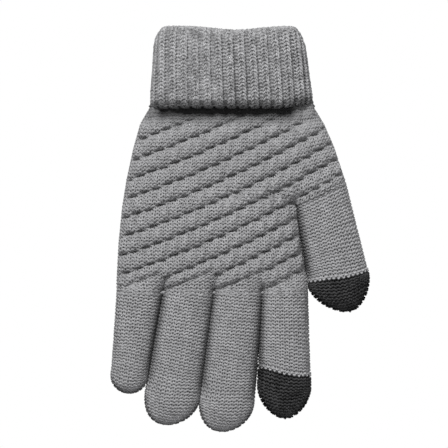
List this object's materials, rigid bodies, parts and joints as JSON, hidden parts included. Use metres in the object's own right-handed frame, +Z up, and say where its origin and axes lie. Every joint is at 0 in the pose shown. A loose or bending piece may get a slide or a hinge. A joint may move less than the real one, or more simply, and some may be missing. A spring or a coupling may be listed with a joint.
{
  "type": "knitted touchscreen glove",
  "caption": "Right-hand heather-grey knitted glove with a turned-up rib cuff, a rippled hand and dark conductive thumb and index tips; its fingers bend at their joints.",
  "frame": {"origin": "centre of the wrist opening, at the top of the folded cuff", "axes": "+Z up the arm, so the fingers hang down; +X to the thumb side; +Y to the palm, so the back of the hand faces -Y"},
  "size_m": [0.1344, 0.0262, 0.2106],
  "materials": {
    "grey_knit": "soft heather-grey yarn, plain knit on the fingers and a raised ripple on the hand",
    "grey_rib": "soft heather-grey yarn in a one-by-one rib",
    "conductive_knit": "near-black conductive yarn, plain knit",
    "joining_yarn": "light grey yarn, one course of joining stitches",
    "elastic_thread": "covered elastic thread, matt"
  },
  "bodies": {
    "cuff": {"cuff_turned_up_rib": "grey_rib", "cuff_fold": "grey_rib", "cuff_inner_rib": "grey_rib", "cuff_bind_off_edge": "grey_rib", "cuff_elastic_threads": "elastic_thread", "wrist_linking_seam": "grey_rib"},
    "hand": {"hand_knit": "grey_knit", "fork_webs": "grey_knit"},
    "little_base": {"little_base_sleeve": "grey_knit"},
    "little_middle": {"little_middle_sleeve": "grey_knit"},
    "little_tip": {"little_tip_sleeve": "grey_knit", "little_closing_knot": "grey_knit"},
    "ring_base": {"ring_base_sleeve": "grey_knit"},
    "ring_middle": {"ring_middle_sleeve": "grey_knit"},
    "ring_tip": {"ring_tip_sleeve": "grey_knit", "ring_closing_knot": "grey_knit"},
    "middle_base": {"middle_base_sleeve": "grey_knit"},
    "middle_middle": {"middle_middle_sleeve": "grey_knit"},
    "middle_tip": {"middle_tip_sleeve": "grey_knit", "middle_closing_knot": "grey_knit"},
    "index_base": {"index_base_sleeve": "grey_knit"},
    "index_middle": {"index_middle_sleeve": "grey_knit"},
    "index_tip": {"index_joining_course": "joining_yarn", "index_touch_tip": "conductive_knit", "index_closing_knot": "conductive_knit"},
    "thumb_root": {"thumb_root_sleeve": "grey_knit"},
    "thumb_base": {"thumb_base_sleeve": "grey_knit"},
    "thumb_end": {"thumb_end_sleeve": "grey_knit", "thumb_joining_course": "joining_yarn", "thumb_touch_tip": "conductive_knit", "thumb_closing_knot": "conductive_knit"}
  },
  "joints": [
    {"name": "wrist_bend", "type": "hinge", "parent": "cuff", "child": "hand", "pos_m": [0.001, 0, -0.0454], "axis": [1, 0, 0], "range_deg": [-30, 45]},
    {"name": "little_knuckle", "type": "hinge", "parent": "hand", "child": "little_base", "pos_m": [-0.0468, 0.0087, -0.138], "axis": [1, 0, 0], "range_deg": [0, 80]},
    {"name": "little_middle_bend", "type": "hinge", "parent": "little_base", "child": "little_middle", "pos_m": [-0.04899, 0.0087, -0.15536], "axis": [1, 0, 0], "range_deg": [0, 95]},
    {"name": "little_tip_bend", "type": "hinge", "parent": "little_middle", "child": "little_tip", "pos_m": [-0.051, 0.0087, -0.17124], "axis": [1, 0, 0], "range_deg": [0, 60]},
    {"name": "ring_knuckle", "type": "hinge", "parent": "hand", "child": "ring_base", "pos_m": [-0.0208, 0.0087, -0.138], "axis": [1, 0, 0], "range_deg": [0, 80]},
    {"name": "ring_middle_bend", "type": "hinge", "parent": "ring_base", "child": "ring_middle", "pos_m": [-0.02448, 0.0087, -0.16121], "axis": [1, 0, 0], "range_deg": [0, 95]},
    {"name": "ring_tip_bend", "type": "hinge", "parent": "ring_middle", "child": "ring_tip", "pos_m": [-0.02807, 0.0087, -0.18393], "axis": [1, 0, 0], "range_deg": [0, 60]},
    {"name": "middle_knuckle", "type": "hinge", "parent": "hand", "child": "middle_base", "pos_m": [0.0048, 0.0087, -0.138], "axis": [1, 0, 0], "range_deg": [0, 80]},
    {"name": "middle_middle_bend", "type": "hinge", "parent": "middle_base", "child": "middle_middle", "pos_m": [0.00224, 0.0087, -0.16237], "axis": [1, 0, 0], "range_deg": [0, 95]},
    {"name": "middle_tip_bend", "type": "hinge", "parent": "middle_middle", "child": "middle_tip", "pos_m": [-0.00022, 0.0087, -0.18574], "axis": [1, 0, 0], "range_deg": [0, 60]},
    {"name": "index_knuckle", "type": "hinge", "parent": "hand", "child": "index_base", "pos_m": [0.0289, 0.0087, -0.138], "axis": [1, 0, 0], "range_deg": [0, 80]},
    {"name": "index_middle_bend", "type": "hinge", "parent": "index_base", "child": "index_middle", "pos_m": [0.0289, 0.0087, -0.1585], "axis": [1, 0, 0], "range_deg": [0, 95]},
    {"name": "index_tip_bend", "type": "hinge", "parent": "index_middle", "child": "index_tip", "pos_m": [0.0289, 0.0087, -0.1789], "axis": [1, 0, 0], "range_deg": [0, 60]},
    {"name": "thumb_spread", "type": "hinge", "parent": "hand", "child": "thumb_root", "pos_m": [0.06185, 0, -0.08685], "axis": [0, -1, 0], "range_deg": [0, 30]},
    {"name": "thumb_root_bend", "type": "hinge", "parent": "thumb_root", "child": "thumb_base", "pos_m": [0.05049, 0.0092, -0.10174], "axis": [0.9781, 0, 0.2079], "range_deg": [0, 40]},
    {"name": "thumb_end_bend", "type": "hinge", "parent": "thumb_base", "child": "thumb_end", "pos_m": [0.05486, 0.0092, -0.12228], "axis": [0.9781, 0, 0.2079], "range_deg": [0, 60]}
  ]
}
